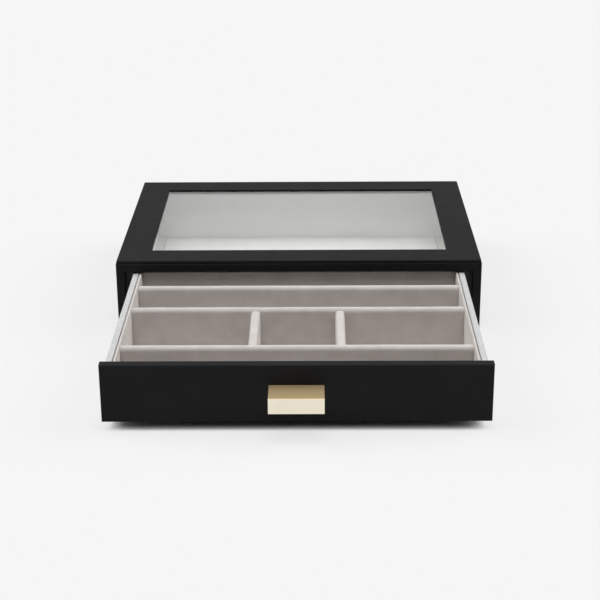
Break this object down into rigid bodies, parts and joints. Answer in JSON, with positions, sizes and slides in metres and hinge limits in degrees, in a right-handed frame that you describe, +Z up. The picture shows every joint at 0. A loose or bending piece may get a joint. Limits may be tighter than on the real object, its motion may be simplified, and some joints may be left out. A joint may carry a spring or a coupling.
{
  "type": "jewellery drawer",
  "caption": "Low black lacquered jewellery box with a glazed top frame and one velvet-lined, divided drawer on a brass pull; shaped to stack.",
  "frame": {"origin": "centre of the carcass's felt underside, on the surface that it stands on", "axes": "+X to the right seen from the front, +Y from the drawer front to the back, +Z up"},
  "size_m": [0.301, 0.4316, 0.062],
  "materials": {
    "black_lacquer": "satin black lacquer on fibreboard",
    "grey_board": "light grey paper-wrapped board",
    "velvet": "short-pile greige velvet over board",
    "felt": "black pressed felt",
    "window_glass": "clear float glass with ground edges",
    "brass": "fine brushed satin brass",
    "screw_steel": "zinc plated",
    "runner_plastic": "undyed nylon",
    "stop_plastic": "black nylon",
    "dowel_wood": "plain beech"
  },
  "bodies": {
    "casing": {"base_felt": "felt", "casing_bottom": "black_lacquer", "casing_side_left": "black_lacquer", "casing_side_right": "black_lacquer", "front_rail": "black_lacquer", "casing_back": "black_lacquer", "case_dowels": "dowel_wood", "top_frame": "black_lacquer", "window_glass": "window_glass", "glazing_beads": "black_lacquer", "floor_lining": "velvet", "rear_lining": "velvet", "runner_left": "runner_plastic", "runner_right": "runner_plastic", "stop_block_left": "stop_plastic", "stop_block_right": "stop_plastic", "rear_bumpers": "felt"},
    "drawer": {"drawer_front": "black_lacquer", "drawer_side_left": "grey_board", "drawer_side_right": "grey_board", "drawer_back": "grey_board", "drawer_bottom": "grey_board", "tray_floor": "velvet", "tray_wall_left": "velvet", "tray_wall_right": "velvet", "tray_wall_front": "velvet", "tray_wall_rear": "velvet", "divider_front": "velvet", "divider_middle": "velvet", "divider_rear": "velvet", "partition_left": "velvet", "partition_right": "velvet", "handle": "brass", "handle_screws": "screw_steel", "stop_lug_left": "stop_plastic", "stop_lug_right": "stop_plastic"}
  },
  "joints": [
    {"name": "drawer_slide", "type": "slide", "parent": "casing", "child": "drawer", "axis": [0, 1, 0], "range_m": [0, 0.1865]}
  ]
}
